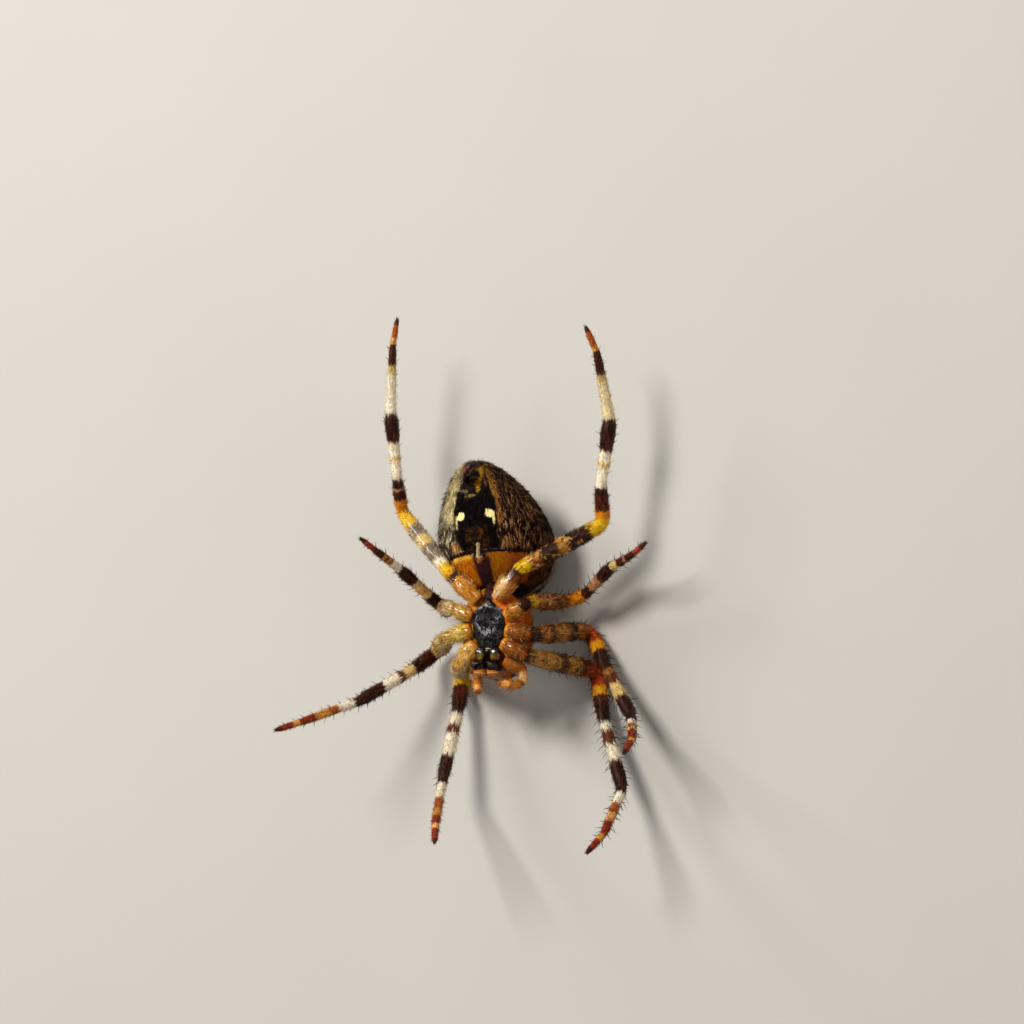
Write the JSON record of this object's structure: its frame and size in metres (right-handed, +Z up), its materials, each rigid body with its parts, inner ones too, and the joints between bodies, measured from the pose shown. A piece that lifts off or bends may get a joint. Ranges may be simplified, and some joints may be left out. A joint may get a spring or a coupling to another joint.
{
  "type": "orb weaver spider",
  "caption": "Life-size still model of a female cross orb weaver spider lying belly up, its banded legs held as in its web.",
  "frame": {"origin": "on the floor, under the middle of the box round the whole spider", "axes": "+Z up, out of the belly; +Y towards the rear tip of the abdomen; +X towards the right side"},
  "size_m": [0.0204, 0.0298, 0.0098],
  "materials": {
    "brown_hide": "satin brown hide with pale streaks, a black belly field and a short coat of hairs",
    "dark_shell": "satin black-brown cuticle",
    "orange_shell": "glossy, slightly translucent orange cuticle",
    "amber_shell": "glossy amber-brown cuticle",
    "banded_shell": "satin cream cuticle with orange, brown and black rings and fine hairs",
    "eye": "polished black"
  },
  "bodies": {
    "root": {"leg_1_left_coxa": "orange_shell", "leg_1_left_femur": "banded_shell", "leg_1_left_tibia": "banded_shell", "leg_1_left_foot": "banded_shell", "leg_1_right_coxa": "orange_shell", "leg_1_right_femur": "banded_shell", "leg_1_right_tibia": "banded_shell", "leg_1_right_foot": "banded_shell", "leg_2_left_coxa": "orange_shell", "leg_2_left_femur": "banded_shell", "leg_2_left_tibia": "banded_shell", "leg_2_left_foot": "banded_shell", "leg_2_right_coxa": "orange_shell", "leg_2_right_femur": "banded_shell", "leg_2_right_tibia": "banded_shell", "leg_2_right_foot": "banded_shell", "leg_3_left_coxa": "orange_shell", "leg_3_left_femur": "banded_shell", "leg_3_left_tibia": "banded_shell", "leg_3_left_foot": "banded_shell", "leg_3_right_coxa": "orange_shell", "leg_3_right_femur": "banded_shell", "leg_3_right_tibia": "banded_shell", "leg_3_right_foot": "banded_shell", "leg_4_left_coxa": "orange_shell", "leg_4_left_femur": "banded_shell", "leg_4_left_tibia": "banded_shell", "leg_4_left_foot": "banded_shell", "leg_4_right_coxa": "orange_shell", "leg_4_right_femur": "banded_shell", "leg_4_right_tibia": "banded_shell", "leg_4_right_foot": "banded_shell", "abdomen": "brown_hide", "spinnerets": "dark_shell", "epigyne": "amber_shell", "waist": "brown_hide", "carapace": "amber_shell", "sternum": "dark_shell", "labium": "dark_shell", "chelicera_left": "amber_shell", "chelicera_right": "amber_shell", "fang_left": "dark_shell", "fang_right": "dark_shell", "maxilla_left": "orange_shell", "maxilla_right": "orange_shell", "palp_left": "amber_shell", "palp_right": "amber_shell", "eye_front_middle_left": "eye", "eye_front_middle_right": "eye", "eye_rear_middle_left": "eye", "eye_rear_middle_right": "eye", "eye_front_side_left": "eye", "eye_front_side_right": "eye", "eye_rear_side_left": "eye", "eye_rear_side_right": "eye"}
  },
  "joints": []
}
